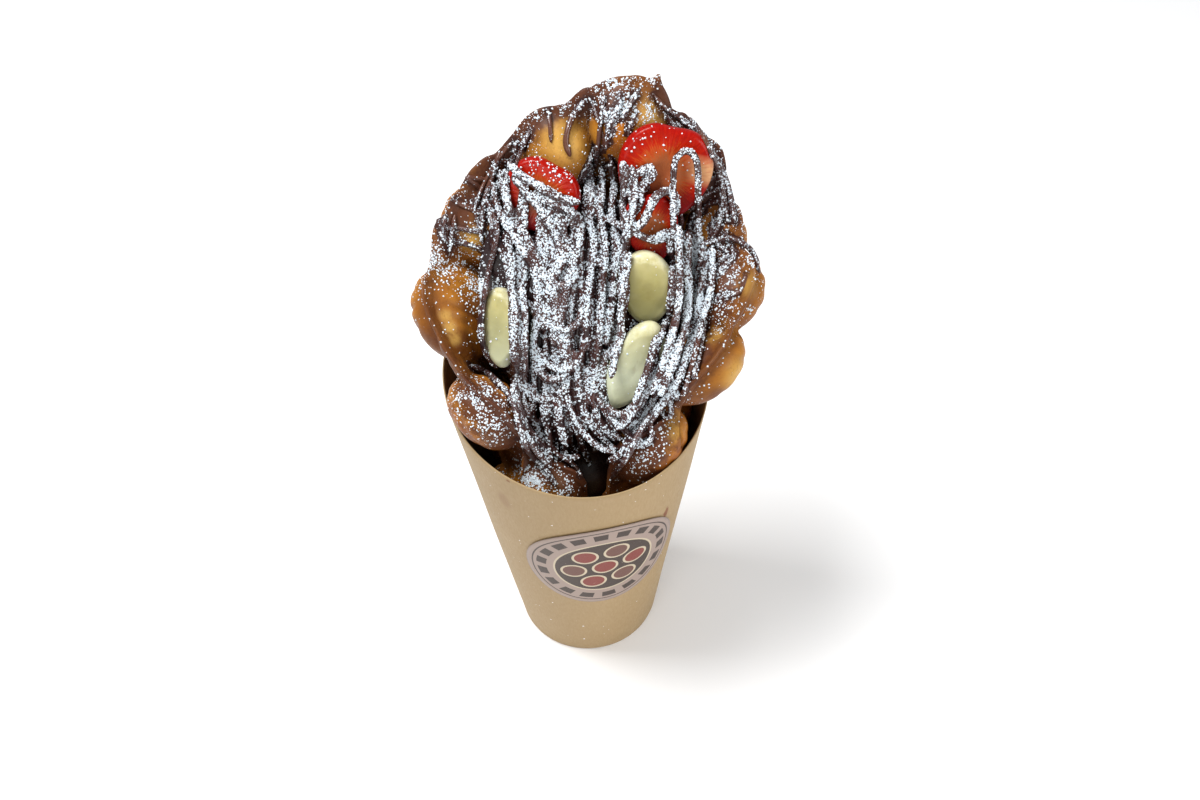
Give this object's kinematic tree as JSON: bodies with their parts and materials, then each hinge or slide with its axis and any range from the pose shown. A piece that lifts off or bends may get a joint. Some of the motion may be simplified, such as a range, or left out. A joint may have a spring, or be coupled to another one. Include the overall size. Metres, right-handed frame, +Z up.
{
  "type": "bubble waffle",
  "caption": "Bubble waffle rolled into an open cone in a slanted paper cup, filled with strawberry and banana slices under ropes of chocolate sauce.",
  "frame": {"origin": "middle of the cup's flat foot, on the surface that it stands on", "axes": "+Z up along the cup's axis, -Y towards the low open front that carries the label, +X to the right seen from the front"},
  "size_m": [0.128, 0.1111, 0.2474],
  "materials": {
    "paper": "uncoated cream paper board",
    "label": "smooth printed paper",
    "crust": "baked golden-brown crust",
    "sauce": "glossy dark chocolate sauce dusted with sugar",
    "strawberry": "moist cut fruit",
    "banana": "moist cut fruit"
  },
  "bodies": {
    "root": {"paper_cup": "paper", "cup_label": "label", "waffle": "crust", "filling": "sauce", "strawberry_right": "strawberry", "strawberry_left": "strawberry", "strawberry_middle": "strawberry", "banana_upper": "banana", "banana_lower": "banana", "banana_left": "banana"}
  },
  "joints": []
}
